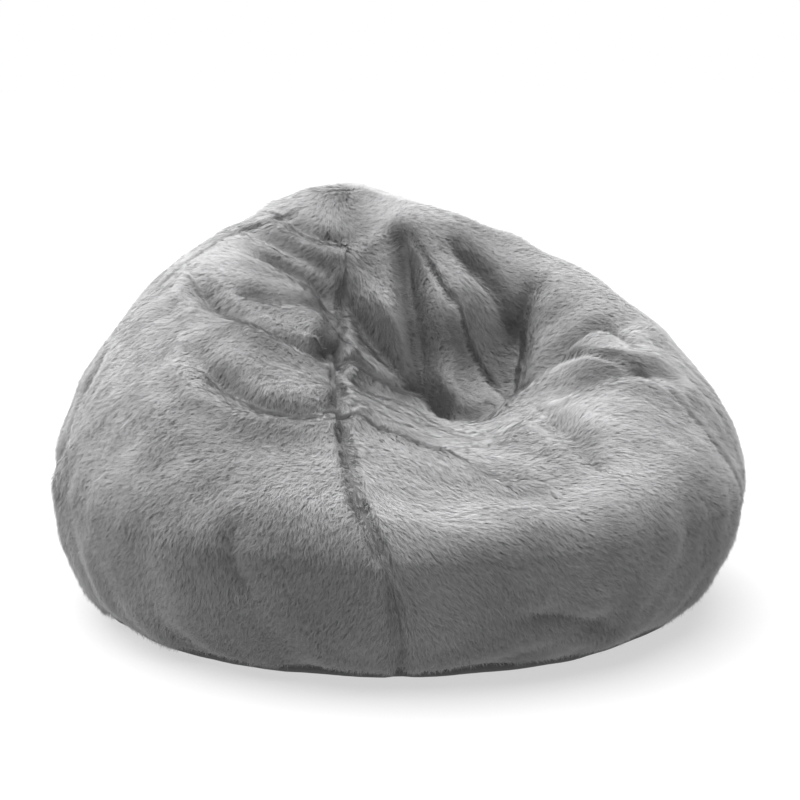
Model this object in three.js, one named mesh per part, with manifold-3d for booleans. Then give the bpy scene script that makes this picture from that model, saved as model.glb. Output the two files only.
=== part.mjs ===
// A slumped bean bag chair in long-pile fabric: a zipped cover of five side panels, a crown and a
// two-part base, over an inner liner cut the same way, which holds the bead fill.
// Millimetres, +Z up. The origin is on the floor under the middle of the bag, and -Y is the front.
import * as THREE from "three";
import Module from "manifold-3d";

const wasm = await Module();
wasm.setup();

// ---- Driving dimensions ----
const WIDTH = 960;
const DEPTH = 920;
const HEIGHT = 568;
const WIDEST_AT = 188; // height of the widest ring above the floor
const APEX = { x: -70, y: 150 }; // where the side panels meet, over the backrest
const FOOT_X = 382; // half the width of the flat underside
const FOOT_Y = 330;
const CROWN_FALL = 1.34; // how fully the bag bulges between the widest ring and the apex

// The hollow pushed in by a sitter. It reaches further to the left, and narrows towards the backrest.
const SEAT = { x: 70, left: 245, right: 205, narrowing: 45, depth: 272 };
const SEAT_BACK = { start: -50, run: 175, sweep: 0.25 }; // the steep foot of the backrest
const SEAT_FRONT = { start: -530, run: 500, straight: 0.6 }; // straight: how even its slope is
const NARROWS = { start: -200, run: 500 };
const SHOULDER = { x: 150, halfWidth: 170, depth: 30 }; // the ridge falls away beyond the apex
const SINK_FADE = 0.35; // share of the rise over which the hollow runs out at the widest ring

const PANELS = ["front_right", "right", "back", "left", "front_left"];
const FIRST_SEAM = THREE.MathUtils.degToRad(-89);
const TWIST = THREE.MathUtils.degToRad(-13); // the seams lean round the bag towards the apex
const TWIST_RUN = 1.5;
const SEAM_GAP = 0.8; // between two sewn panels
const BASE_GAP = 1.2; // between the hem and the base's rim
const CROWN_EDGE = 0.075; // share of the way down from the apex to the widest ring
const HEM = 1 + 65 / 90; // where side panels and base are sewn together, low on the bag

const COVER = { name: "cover", outer: 0, inner: 14, rimOuter: 8.5, rimInner: 11, floor: 0, thick: 2.5 };
const LINER = {
  name: "liner", outer: 15.2, inner: 16.8, rimOuter: 15.2, rimInner: 16.8, floor: 7, thick: 1.4,
};
const FILL_INSET = 18.4;
const FILL_FLOOR = 12.6;
const FILL_FOOT = 0.96; // of the foot, where the fill leaves the floor of the liner
const FLAT_EDGE = 0.985; // of the foot, where the base turns up to the hem
// The turn-up between the flat of the base and its rim: how near it is to the rim, and how low it hangs.
const TURN_UP = { towardsRim: 0.55, drop: 0.16 };

const ZIP_LENGTH = 480;
const TEETH = { from: 0.7, to: 3.2, thick: 2, sink: 0.7 }; // distances from the zip's centre line
const TAPE = { from: 3.5, to: 16, thick: 0.6, lift: 0.3, overhang: 12 }; // lift: over the base cloth
const SLOT = 4.4; // half the width of the slit in the base over the teeth
const SLIT_RUN_OUT = 30; // how far the slit runs on past each end of the teeth
const SLIDER = { length: 10, halfWidth: 3.9, wing: 1, post: 0.4, postLength: 3, clearance: 0.5 };
// The slider's outline, in shares of its half width: the shoulders of its nose, and how its ends bow out.
const OUTLINE = { shoulder: 0.8, noseBow: 0.7, tailBow: 0.9 };
const STOP = { length: 2.4, gap: 0.3 };

const LABEL = { width: 32, length: 42, thick: 0.7, lift: 0.4, under: 16 };

const ACROSS = 8; // grid steps across a side panel
const PANEL_ROWS = 13;
const CROWN_RINGS = 2;
const BASE_STEPS = 26; // round the rim of a base half
const BASE_START = 0.025; // radians from the split between the halves to the first step
const SURFACE_STEP = 0.02; // between the points that give the surface's directions
const SAME_POINT = 1e-3; // corners nearer than this are one point

// ---- Colours and finishes ----
const finish = (color, roughness) => new THREE.MeshStandardMaterial({ color, roughness, metalness: 0 });
const FINISHES = {
  pile: () => finish(0x7d7d7e, 0.9),
  base: () => finish(0x3b3b3d, 0.85),
  liner: () => finish(0xd9d8d4, 0.75),
  beads: () => finish(0xf2f2ef, 0.6),
  tape: () => finish(0x303032, 0.8),
  teeth: () => finish(0x232325, 0.45),
  label: () => finish(0xe8e7e2, 0.7),
};

const group = new THREE.Group();
group.name = "bean_bag_chair";

function addMesh(name, geometry, material) {
  const mesh = new THREE.Mesh(geometry, material);
  mesh.name = name;
  group.add(mesh);
  return mesh;
}

// ---- The shape of the bag ----
const smooth = (start, run, value) => THREE.MathUtils.smoothstep(value, start, start + run);
const bell = (value, middle, halfWidth) => Math.exp(-(((value - middle) / halfWidth) ** 2));

// How far the seat hollow and the sloping shoulder lower the top of the bag at a place on the plan.
function sunk(x, y) {
  const back = SEAT_BACK.start + SEAT_BACK.sweep * Math.abs(x - SEAT.x);
  const backrest = smooth(back, SEAT_BACK.run, y);
  const forward = THREE.MathUtils.clamp((y - SEAT_FRONT.start) / SEAT_FRONT.run, 0, 1);
  const slope = THREE.MathUtils.lerp(smooth(0, 1, forward), forward, SEAT_FRONT.straight);
  const narrowed = SEAT.narrowing * smooth(NARROWS.start, NARROWS.run, y);
  const halfWidth = (x < SEAT.x ? SEAT.left : SEAT.right) - narrowed;
  const seat = SEAT.depth * bell(x, SEAT.x, halfWidth) * slope;
  const shoulder = SHOULDER.depth * bell(x, SHOULDER.x, SHOULDER.halfWidth);
  return seat * (1 - backrest) + shoulder * backrest;
}

// A point of the bag's outside. down is 0 at the apex, 1 on the widest ring and 2 on the floor.
function outside(azimuth, down) {
  const angle = (Math.min(down, 1) * Math.PI) / 2;
  const tuck = (Math.max(down - 1, 0) * Math.PI) / 2;
  const share = Math.sin(angle);
  const turned = azimuth + TWIST * (1 - smooth(0, TWIST_RUN, down));
  const footX = (FOOT_X * 2) / WIDTH;
  const footY = (FOOT_Y * 2) / DEPTH;
  const reachX = (WIDTH / 2) * (footX + (1 - footX) * Math.cos(tuck));
  const reachY = (DEPTH / 2) * (footY + (1 - footY) * Math.cos(tuck));
  const x = APEX.x * (1 - share) + share * reachX * Math.cos(turned);
  const y = APEX.y * (1 - share) + share * reachY * Math.sin(turned);
  const rise = Math.max(Math.cos(angle), 0) ** CROWN_FALL;
  const low = WIDEST_AT * (1 - Math.sin(tuck));
  const fade = smooth(0, SINK_FADE, rise);
  return new THREE.Vector3(x, y, low + (HEIGHT - WIDEST_AT) * rise - sunk(x, y) * fade);
}

// The surface's directions at a point: outward, across the panels and along them towards the floor.
function directions(azimuth, down) {
  const step = SURFACE_STEP;
  const at = THREE.MathUtils.clamp(down, step, 2 - step);
  const ahead = outside(azimuth, at + step).sub(outside(azimuth, at - step));
  const turn = down < step ? Math.PI / 2 : step;
  const round = outside(azimuth + turn, at).sub(outside(azimuth - turn, at)).normalize();
  const opposite = outside(azimuth, step).sub(outside(azimuth + Math.PI, step));
  const outward = (down < step ? opposite : ahead).cross(round).normalize();
  return { outward, across: round, along: outward.clone().cross(round).negate() };
}

// A point of a layer: moved in from the outside by depth, then sideways to leave a gap at a seam.
function inside(azimuth, down, depth, across = 0, along = 0) {
  const way = directions(azimuth, down);
  return outside(azimuth, down)
    .addScaledVector(way.outward, -depth)
    .addScaledVector(way.across, across)
    .addScaledVector(way.along, along);
}

// ---- Closed solids from grids of points ----
function solidFrom(quads) {
  const corners = [];
  for (const [a, b, c, d] of quads) {
    for (const triangle of [[a, b, c], [a, c, d]]) {
      const [p, q, r] = triangle;
      if (Math.min(p.distanceTo(q), q.distanceTo(r), r.distanceTo(p)) > SAME_POINT) {
        corners.push(...triangle);
      }
    }
  }
  const geometry = new THREE.BufferGeometry().setFromPoints(corners);
  geometry.computeVertexNormals();
  return geometry;
}

// The cells of a grid, all split along the same diagonal, so that stacked layers never cross.
function gridQuads(rows, flipped = false) {
  const quads = [];
  for (let i = 0; i + 1 < rows.length; i += 1) {
    for (let j = 0; j + 1 < rows[i].length; j += 1) {
      const [a, b, c, d] = [rows[i][j], rows[i + 1][j], rows[i + 1][j + 1], rows[i][j + 1]];
      quads.push(flipped ? [a, d, c, b] : [a, b, c, d]);
    }
  }
  return quads;
}

// A thick sheet: its outer face, its inner face and the walls round its edge.
function slab(outer, inner, closed = false) {
  const faces = [
    ...gridQuads(outer),
    ...gridQuads(inner, true),
    ...gridQuads([outer[0], inner[0]], true),
    ...gridQuads([outer.at(-1), inner.at(-1)]),
  ];
  if (!closed) {
    faces.push(...gridQuads([outer.map((row) => row[0]), inner.map((row) => row[0])]));
    faces.push(...gridQuads([outer.map((row) => row.at(-1)), inner.map((row) => row.at(-1))], true));
  }
  return solidFrom(faces);
}

const reversed = (row) => [...row].reverse();
const spread = (from, to, steps) =>
  Array.from({ length: steps + 1 }, (_, i) => from + ((to - from) * i) / steps);

// ---- Side panels and crown, for the cover and for the liner ----
// Half a gap, inwards from each end of a row of grid steps.
const gapAt = (i, count) => (i === 0 ? SEAM_GAP / 2 : 0) - (i === count ? SEAM_GAP / 2 : 0);

function sidePanel(layer, index) {
  const start = FIRST_SEAM + (index * 2 * Math.PI) / PANELS.length;
  const end = start + (2 * Math.PI) / PANELS.length;
  const grid = (depth) =>
    spread(CROWN_EDGE, HEM, PANEL_ROWS).map((down, i) =>
      spread(start, end, ACROSS).map((azimuth, j) =>
        inside(azimuth, down, depth, gapAt(j, ACROSS), gapAt(i, PANEL_ROWS))));
  return slab(grid(layer.outer), grid(layer.inner));
}

function crown(layer) {
  const grid = (depth) =>
    spread(0, CROWN_EDGE, CROWN_RINGS).map((down, i) =>
      spread(FIRST_SEAM, FIRST_SEAM + 2 * Math.PI, ACROSS * PANELS.length).map((azimuth) =>
        inside(i === 0 ? 0 : azimuth, down, depth, 0, i === 0 ? 0 : gapAt(i, CROWN_RINGS))));
  return slab(grid(layer.outer), grid(layer.inner), true);
}

// ---- The base: a half on each side of the zip, turned up at its rim to meet the side panels ----
function baseHalf(layer, side) {
  const azimuths = spread(BASE_START, Math.PI - BASE_START, BASE_STEPS).map((angle) => side * angle);
  const slit = (x) => (Math.abs(x) < ZIP_LENGTH / 2 + SLIT_RUN_OUT ? SLOT : SEAM_GAP / 2);
  const flat = (azimuth, share, height) => {
    const x = FOOT_X * FLAT_EDGE * Math.cos(azimuth);
    const edge = side * slit(x);
    const rim = FOOT_Y * FLAT_EDGE * Math.sin(azimuth);
    return new THREE.Vector3(x, edge + (rim - edge) * share, layer.floor + height);
  };
  const rim = (azimuth, depth) => inside(azimuth, HEM, depth, 0, BASE_GAP);
  const turn = (azimuth, depth, height) =>
    flat(azimuth, 1, height)
      .lerp(rim(azimuth, depth), TURN_UP.towardsRim)
      .add(new THREE.Vector3(0, 0, -TURN_UP.drop * (rim(azimuth, depth).z - layer.floor)));
  const face = (depth, height) => [
    ...[0, 0.5, 1].map((share) => azimuths.map((azimuth) => flat(azimuth, share, height))),
    azimuths.map((azimuth) => turn(azimuth, depth, height)),
    azimuths.map((azimuth) => rim(azimuth, depth)),
  ];
  const outer = face(layer.rimOuter, 0);
  const inner = face(layer.rimInner, layer.thick);
  return side < 0 ? slab(outer, inner) : slab(outer.map(reversed), inner.map(reversed));
}

// ---- The zip along the middle of the base ----
function bar(name, size, middle, material) {
  const mesh = addMesh(name, new THREE.BoxGeometry(...size), material);
  mesh.position.set(...middle);
}

function roundedPlate(length, halfWidth, thick, bottom) {
  const outline = new THREE.Shape();
  const straight = length / 2 - halfWidth / 2;
  const shoulder = halfWidth * OUTLINE.shoulder;
  const noseBow = halfWidth * OUTLINE.noseBow;
  const tailBow = halfWidth * OUTLINE.tailBow;
  outline.moveTo(-straight, -halfWidth);
  outline.lineTo(straight, -shoulder);
  outline.quadraticCurveTo(length / 2, -noseBow, length / 2, 0);
  outline.quadraticCurveTo(length / 2, noseBow, straight, shoulder);
  outline.lineTo(-straight, halfWidth);
  outline.quadraticCurveTo(-length / 2, tailBow, -length / 2, 0);
  outline.quadraticCurveTo(-length / 2, -tailBow, -straight, -halfWidth);
  const plate = new THREE.ExtrudeGeometry(outline, { depth: thick, bevelEnabled: false, curveSegments: 4 });
  return plate.translate(0, 0, bottom);
}

function toSolid(geometry) {
  const loose = geometry.index ? geometry.toNonIndexed() : geometry;
  const places = new Map();
  const vertices = [];
  const triangles = [];
  const position = loose.getAttribute("position");
  for (let i = 0; i < position.count; i += 1) {
    const point = [position.getX(i), position.getY(i), position.getZ(i)];
    const key = point.map((value) => value.toFixed(4)).join(" ");
    if (!places.has(key)) {
      places.set(key, places.size);
      vertices.push(...point);
    }
    triangles.push(places.get(key));
  }
  const mesh = new wasm.Mesh({
    numProp: 3,
    vertProperties: new Float32Array(vertices),
    triVerts: new Uint32Array(triangles),
  });
  return new wasm.Manifold(mesh);
}

function fromSolid(solid) {
  const { vertProperties, triVerts } = solid.getMesh();
  const geometry = new THREE.BufferGeometry();
  geometry.setAttribute("position", new THREE.BufferAttribute(vertProperties, 3));
  geometry.setIndex([...triVerts]);
  geometry.computeVertexNormals();
  return geometry;
}

// The slider: a wing under the teeth and a wing over them, joined by a post between the two rows.
function slider(teethBottom) {
  const { length, halfWidth, wing, post, postLength, clearance } = SLIDER;
  const low = teethBottom - clearance - wing;
  const high = teethBottom + TEETH.thick + clearance;
  const stem = new THREE.BoxGeometry(postLength, 2 * post, high - low);
  stem.translate(-length / 4, 0, (high + low) / 2 + wing / 2);
  const under = toSolid(roundedPlate(length, halfWidth, wing, low));
  const over = toSolid(roundedPlate(length, halfWidth, wing, high));
  return fromSolid(under.add(over).add(toSolid(stem)));
}

function addZip(prefix, tapeBottom, teethBottom) {
  const tape = FINISHES.tape();
  const teeth = FINISHES.teeth();
  const tapeMiddle = (TAPE.from + TAPE.to) / 2;
  const teethMiddle = (TEETH.from + TEETH.to) / 2;
  for (const [side, sign] of [["front", -1], ["back", 1]]) {
    const strip = [ZIP_LENGTH + 2 * TAPE.overhang, TAPE.to - TAPE.from, TAPE.thick];
    bar(`${prefix}_tape_${side}`, strip, [0, sign * tapeMiddle, tapeBottom + TAPE.thick / 2], tape);
    const row = [ZIP_LENGTH, TEETH.to - TEETH.from, TEETH.thick];
    bar(`${prefix}_teeth_${side}`, row, [0, sign * teethMiddle, teethBottom + TEETH.thick / 2], teeth);
  }
  for (const [side, sign] of [["left", -1], ["right", 1]]) {
    const block = [STOP.length, 2 * TEETH.to, TEETH.thick];
    const x = sign * (ZIP_LENGTH / 2 + STOP.length / 2 + STOP.gap);
    bar(`${prefix}_stop_${side}`, block, [x, 0, teethBottom + TEETH.thick / 2], teeth);
  }
  const closed = addMesh(`${prefix}_slider`, slider(teethBottom), teeth);
  closed.position.x = -ZIP_LENGTH / 2 + SLIDER.length / 2;
}

// ---- The bead fill ----
function fill() {
  const round = spread(FIRST_SEAM, FIRST_SEAM + 2 * Math.PI, ACROSS * PANELS.length);
  const apex = inside(0, 0, FILL_INSET);
  const downs = [...spread(0, CROWN_EDGE, CROWN_RINGS).slice(1, -1), ...spread(CROWN_EDGE, HEM, PANEL_ROWS)];
  const rows = [round.map(() => apex)];
  for (const down of downs) {
    rows.push(round.map((azimuth) => inside(azimuth, down, FILL_INSET)));
  }
  const under = new THREE.Vector3(0, 0, FILL_FLOOR);
  rows.push(round.map((a) =>
    new THREE.Vector3(FOOT_X * FILL_FOOT * Math.cos(a), FOOT_Y * FILL_FOOT * Math.sin(a), FILL_FLOOR)));
  rows.push(round.map(() => under));
  return solidFrom(gridQuads(rows));
}

// ---- Assembly ----
for (const layer of [COVER, LINER]) {
  const side = layer === COVER ? FINISHES.pile() : FINISHES.liner();
  const base = layer === COVER ? FINISHES.base() : side;
  PANELS.forEach((place, index) => addMesh(`${layer.name}_panel_${place}`, sidePanel(layer, index), side));
  addMesh(`${layer.name}_crown`, crown(layer), side);
  addMesh(`${layer.name}_base_front`, baseHalf(layer, -1), base);
  addMesh(`${layer.name}_base_back`, baseHalf(layer, 1), base);
  const tapeBottom = layer.floor + layer.thick + TAPE.lift;
  addZip(`${layer.name}_zip`, tapeBottom, tapeBottom - TEETH.sink);
}
addMesh("bead_fill", fill(), FINISHES.beads());

bar(
  "care_label",
  [LABEL.width, LABEL.length, LABEL.thick],
  [0, FOOT_Y + LABEL.under + LABEL.length / 2, LABEL.lift + LABEL.thick / 2],
  FINISHES.label(),
);

export default group;
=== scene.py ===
import math

import bmesh
import bpy
import numpy as np
from mathutils import Matrix, Vector


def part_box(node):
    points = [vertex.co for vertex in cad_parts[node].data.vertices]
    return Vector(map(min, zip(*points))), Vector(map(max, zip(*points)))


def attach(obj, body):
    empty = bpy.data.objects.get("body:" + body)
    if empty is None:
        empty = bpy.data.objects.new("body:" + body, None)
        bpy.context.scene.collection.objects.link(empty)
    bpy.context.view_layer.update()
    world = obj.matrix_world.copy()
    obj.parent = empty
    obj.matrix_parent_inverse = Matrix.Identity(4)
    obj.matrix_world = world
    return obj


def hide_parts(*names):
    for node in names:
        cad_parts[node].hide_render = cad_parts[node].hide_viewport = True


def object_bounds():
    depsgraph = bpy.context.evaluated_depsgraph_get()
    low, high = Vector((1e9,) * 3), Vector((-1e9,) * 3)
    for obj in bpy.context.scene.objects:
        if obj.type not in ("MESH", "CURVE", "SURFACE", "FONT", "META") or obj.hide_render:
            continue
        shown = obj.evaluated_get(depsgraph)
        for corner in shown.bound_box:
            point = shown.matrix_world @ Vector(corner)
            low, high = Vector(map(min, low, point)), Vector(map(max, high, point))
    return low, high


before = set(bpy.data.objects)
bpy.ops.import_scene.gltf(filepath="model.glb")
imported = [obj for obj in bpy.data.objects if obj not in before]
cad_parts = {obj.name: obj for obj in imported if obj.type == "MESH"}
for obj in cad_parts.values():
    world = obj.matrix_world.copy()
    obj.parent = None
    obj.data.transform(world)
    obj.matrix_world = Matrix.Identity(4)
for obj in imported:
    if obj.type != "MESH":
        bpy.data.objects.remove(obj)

CAD_BOX = [[float(v) for v in corner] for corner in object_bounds()]

# ---- Sizes, in metres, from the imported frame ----
LOW = np.array(CAD_BOX[0])
HIGH = np.array(CAD_BOX[1])
HALF_WIDTH = (HIGH[0] - LOW[0]) / 2
HALF_DEPTH = (HIGH[1] - LOW[1]) / 2
APEX_X, APEX_Y = -0.070, 0.150
PEAK = HIGH[2] + 0.004
WIDEST_AT = 0.188
FOOT_X, FOOT_Y = 0.380, 0.320
FOOT_LEAN = -0.008
CROWN_FALL = 1.34
SEAT_X, SEAT_DEPTH = 0.070, 0.272
SEAT_LEFT, SEAT_RIGHT, SEAT_NARROWING = 0.245, 0.205, 0.045
SEAT_FRONT, SEAT_RUN, SEAT_STRAIGHT = -0.53, 0.50, 0.6
SEAT_BACK, BACKREST_BOW, BACKREST_RUN = -0.050, 0.25, 0.175
NARROWS_FROM, NARROWS_RUN = -0.20, 0.30
SHOULDER_X, SHOULDER_REACH, SHOULDER_DEPTH = 0.150, 0.17, 0.030
SINK_FADE = 0.35  # the hollow fades out over this share of the rise above the widest ring

PANELS = ("front_right", "right", "back", "left", "front_left")
FIRST_SEAM = math.radians(-89)
TWIST = math.radians(-13)  # the seams lean round the bag between the hem and the apex
TWIST_RUN = 1.5
PANEL_TURN = 2 * math.pi / len(PANELS)
CROWN_EDGE = 0.075
HEM = 1 + 65 / 90

BACKING_INSET = 0.006  # the backing cloth lies this far under the tips of the pile


# ---- The shape of the bag ----
def smooth(value, start, run):
    share = np.clip((value - start) / run, 0, 1)
    return share * share * (3 - 2 * share)


def bell(value, middle, half_width):
    return np.exp(-(((value - middle) / half_width) ** 2))


def sunk(x, y):
    """How far the seat hollow and the shoulder beyond the apex lower the top of the bag."""
    backrest = smooth(y, SEAT_BACK + BACKREST_BOW * np.abs(x - SEAT_X), BACKREST_RUN)
    forward = np.clip((y - SEAT_FRONT) / SEAT_RUN, 0, 1)
    half_width = np.where(x < SEAT_X, SEAT_LEFT, SEAT_RIGHT)
    half_width = half_width - SEAT_NARROWING * smooth(y, NARROWS_FROM, NARROWS_RUN)
    slope = SEAT_STRAIGHT * forward + (1 - SEAT_STRAIGHT) * smooth(forward, 0, 1)
    seat = SEAT_DEPTH * bell(x, SEAT_X, half_width) * slope
    shoulder = SHOULDER_DEPTH * bell(x, SHOULDER_X, SHOULDER_REACH)
    return seat * (1 - backrest) + shoulder * backrest


def body(azimuth, down):
    """Places on the smooth bag. down is 0 at the apex, 1 on the widest ring and 2 on the floor."""
    azimuth = azimuth + TWIST * (1 - smooth(down, 0, TWIST_RUN))
    angle = np.minimum(down, 1) * math.pi / 2
    tuck = np.maximum(down - 1, 0) * math.pi / 2
    share = np.sin(angle)
    foot_x, foot_y = FOOT_X / HALF_WIDTH, FOOT_Y / HALF_DEPTH
    reach_x = HALF_WIDTH * (foot_x + (1 - foot_x) * np.cos(tuck))
    reach_y = HALF_DEPTH * (foot_y + (1 - foot_y) * np.cos(tuck))
    x = APEX_X * (1 - share) + share * reach_x * np.cos(azimuth) + FOOT_LEAN * np.sin(tuck)
    y = APEX_Y * (1 - share) + share * reach_y * np.sin(azimuth)
    rise = np.maximum(np.cos(angle), 0) ** CROWN_FALL
    z = WIDEST_AT * (1 - np.sin(tuck)) + (PEAK - WIDEST_AT) * rise
    return np.stack([x, y, z - sunk(x, y) * smooth(rise, 0, SINK_FADE)], -1)


# Each crease is a smooth curve from start through bend to end, each given as (azimuth in degrees, down).
# lips raise the cloth on its left and its right.
CREASES = (
    # the folds of the backrest, running down into the seat pocket
    dict(start=(-25, 0.10), bend=(-40, 0.17), end=(-45, 0.27), depth=0.036, width=0.016, lips=(0.1, 0.25)),
    dict(start=(0, 0.18), bend=(3, 0.24), end=(-5, 0.28), depth=0.026, width=0.015, lips=(0.0, 0.15)),
    dict(start=(8, 0.30), bend=(-5, 0.28), end=(-20, 0.29), depth=0.026, width=0.016, lips=(0.3, 0.1)),
    dict(start=(-33, 0.28), bend=(-10, 0.38), end=(0, 0.48), depth=0.030, width=0.018, lips=(0.1, 0.45)),
    dict(start=(-48, 0.23), bend=(-40, 0.25), end=(-30, 0.28), depth=0.024, width=0.022, lips=(0.0, 0.0)),
    dict(start=(-88, 0.12), bend=(-60, 0.16), end=(-42, 0.22), depth=0.024, width=0.014, lips=(0.35, 0.15)),
    dict(start=(-93, 0.27), bend=(-62, 0.21), end=(-42, 0.24), depth=0.028, width=0.014, lips=(0.15, 0.45)),
    # the gathers left of the front seam
    dict(start=(-135, 0.38), bend=(-110, 0.38), end=(-93, 0.30), depth=0.030, width=0.016, lips=(0.15, 0.5)),
    dict(start=(-122, 0.52), bend=(-105, 0.56), end=(-90, 0.48), depth=0.018, width=0.015, lips=(0.2, 0.5)),
    dict(start=(-155, 0.13), bend=(-120, 0.09), end=(-92, 0.07), depth=0.014, width=0.013, lips=(0.1, 0.5)),
    dict(start=(-138, 0.23), bend=(-118, 0.16), end=(-97, 0.15), depth=0.014, width=0.013, lips=(0.1, 0.5)),
    dict(start=(-125, 0.32), bend=(-113, 0.25), end=(-97, 0.20), depth=0.014, width=0.013, lips=(0.3, 0.5)),
    dict(start=(-150, 0.20), bend=(-130, 0.15), end=(-105, 0.12), depth=0.010, width=0.013, lips=(0.2, 0.5)),
    # the small folds on the front edge of the seat
    dict(start=(-88, 0.47), bend=(-80, 0.47), end=(-72, 0.52), depth=0.012, width=0.014, lips=(0.2, 0.5)),
    dict(start=(-80, 0.49), bend=(-68, 0.52), end=(-60, 0.62), depth=0.012, width=0.014, lips=(0.2, 0.5)),
    dict(start=(-38, 0.45), bend=(-43, 0.55), end=(-45, 0.67), depth=0.018, width=0.018, lips=(0.2, 0.5)),
    dict(start=(-28, 0.43), bend=(-20, 0.52), end=(-13, 0.62), depth=0.014, width=0.014, lips=(0.3, 0.4)),
    dict(start=(-2, 0.43), bend=(-6, 0.47), end=(-10, 0.52), depth=0.010, width=0.013, lips=(0.4, 0.2)),
    # low on the front
    dict(start=(-110, 0.90), bend=(-112, 1.05), end=(-110, 1.20), depth=0.008, width=0.015, lips=(0.2, 0.2)),
    dict(start=(-70, 1.30), bend=(-62, 1.35), end=(-55, 1.45), depth=0.012, width=0.016, lips=(0.3, 0.2)),
    # the right side, the back and the left side
    dict(start=(35, 0.35), bend=(50, 0.50), end=(60, 0.70), depth=0.016, width=0.020, lips=(0.4, 0.3)),
    dict(start=(115, 0.30), bend=(100, 0.50), end=(95, 0.70), depth=0.015, width=0.022, lips=(0.3, 0.4)),
    dict(start=(160, 0.30), bend=(155, 0.50), end=(145, 0.60), depth=0.014, width=0.020, lips=(0.4, 0.2)),
    dict(start=(25, 0.80), bend=(32, 1.00), end=(35, 1.20), depth=0.010, width=0.018, lips=(0.3, 0.3)),
    dict(start=(-160, 0.85), bend=(-168, 1.00), end=(-170, 1.20), depth=0.010, width=0.018, lips=(0.3, 0.3)),
    dict(start=(75, 1.05), bend=(85, 1.20), end=(88, 1.40), depth=0.010, width=0.018, lips=(0.3, 0.3)),
)
CREASE_KNOTS = 7
# Rounded swells of the filled cloth, each at (azimuth in degrees, down) with its reach and its height.
SWELLS = (
    dict(at=(-20, 0.18), reach=0.055, height=0.026),
    dict(at=(15, 0.35), reach=0.085, height=0.014),
    dict(at=(-62, 0.12), reach=0.045, height=0.010),
    dict(at=(-113, 0.45), reach=0.060, height=0.014),
    dict(at=(-108, 0.22), reach=0.035, height=0.010),
    dict(at=(-135, 0.27), reach=0.035, height=0.009),
    dict(at=(-115, 0.12), reach=0.035, height=0.010),
    dict(at=(-100, 0.26), reach=0.030, height=0.010),
    dict(at=(-67, 0.33), reach=0.050, height=0.010),
    dict(at=(-14, 0.47), reach=0.050, height=0.014),
)
SEAM = dict(depth=0.010, width=0.0065)
UNDULATIONS = (dict(height=0.0045, scale=0.16, seed=3), dict(height=0.0022, scale=0.06, seed=4))
STEPS_ROUND = 960
STEPS_DOWN = 460


def across_and_along(grid):
    """The unit directions round the bag and down it, and the outward normal, at each grid point."""
    wrapped = np.concatenate([grid[:, -1:], grid, grid[:, :1]], axis=1)
    across = wrapped[:, 2:] - wrapped[:, :-2]
    along = np.gradient(grid, axis=0)
    across /= np.linalg.norm(across, axis=-1, keepdims=True) + 1e-12
    along /= np.linalg.norm(along, axis=-1, keepdims=True) + 1e-12
    normal = np.cross(along, across)
    normal /= np.linalg.norm(normal, axis=-1, keepdims=True) + 1e-12
    return across, along, normal


def crease_line(start, bend, end):
    """Places along a smooth curve on the bag that starts, bends and ends at the three given ones."""
    start, bend, end = np.array(start), np.array(bend), np.array(end)
    share = np.linspace(0, 1, CREASE_KNOTS)[:, None]
    pull = 2 * bend - (start + end) / 2
    line = (1 - share) ** 2 * start + 2 * share * (1 - share) * pull + share ** 2 * end
    return body(np.radians(line[:, 0]), line[:, 1])


def crease_shift(points, normals, start, bend, end, depth, width, lips):
    """How far a crease pulls each point inwards. It fades out towards both of its ends."""
    knots = crease_line(start, bend, end)
    lengths = np.concatenate([[0], np.cumsum(np.linalg.norm(np.diff(knots, axis=0), axis=1))])
    nearest = np.full(points.shape[:-1], 1e9)
    place = np.zeros(points.shape[:-1])
    side = np.zeros(points.shape[:-1])
    for near, far, begun in zip(knots[:-1], knots[1:], lengths[:-1]):
        run = far - near
        share = np.clip(((points - near) @ run) / (run @ run), 0, 1)
        away = points - (near + share[..., None] * run)
        distance = np.linalg.norm(away, axis=-1)
        closer = distance < nearest
        nearest = np.where(closer, distance, nearest)
        place = np.where(closer, begun + share * np.linalg.norm(run), place)
        turned = np.einsum("...k,...k->...", np.cross(normals, run), away)
        side = np.where(closer, np.sign(turned) * distance, side)
    ends = smooth(place / lengths[-1], -0.25, 0.5) * smooth(1 - place / lengths[-1], -0.25, 0.5)
    groove = np.exp(-((nearest / width) ** 1.4))
    banks = lips[0] * bell(side, 2.1 * width, 1.3 * width) + lips[1] * bell(side, -2.1 * width, 1.3 * width)
    banks = banks * np.exp(-((nearest - np.abs(side)) / width) ** 2)
    return depth * ends * (groove - banks)


def wave(points, scale, seed):
    """A gentle random swell between -1 and 1, the sum of a few sine waves in random directions."""
    source = np.random.default_rng(seed)
    total = 0
    for _ in range(6):
        way = source.normal(size=3)
        way *= source.uniform(0.7, 1.4) * 2 * math.pi / scale / np.linalg.norm(way)
        total = total + np.sin(points @ way + source.uniform(0, 2 * math.pi))
    return total / 3.5


def neighbours(values):
    framed = np.pad(values, ((1, 1), (0, 0)), "edge")
    return [values, np.roll(values, 1, axis=1), np.roll(values, -1, axis=1), framed[:-2], framed[2:]]


def evened(values, steps):
    for _ in range(steps):
        values = sum(neighbours(values)) / 5
    return values


def widened(pulled, steps):
    """The creases as the layers under the pile follow them, rounder and wider."""
    wide = np.maximum(pulled, 0)
    for _ in range(steps):
        wide = np.maximum.reduce(neighbours(wide))
    return evened(wide, steps)


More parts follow.
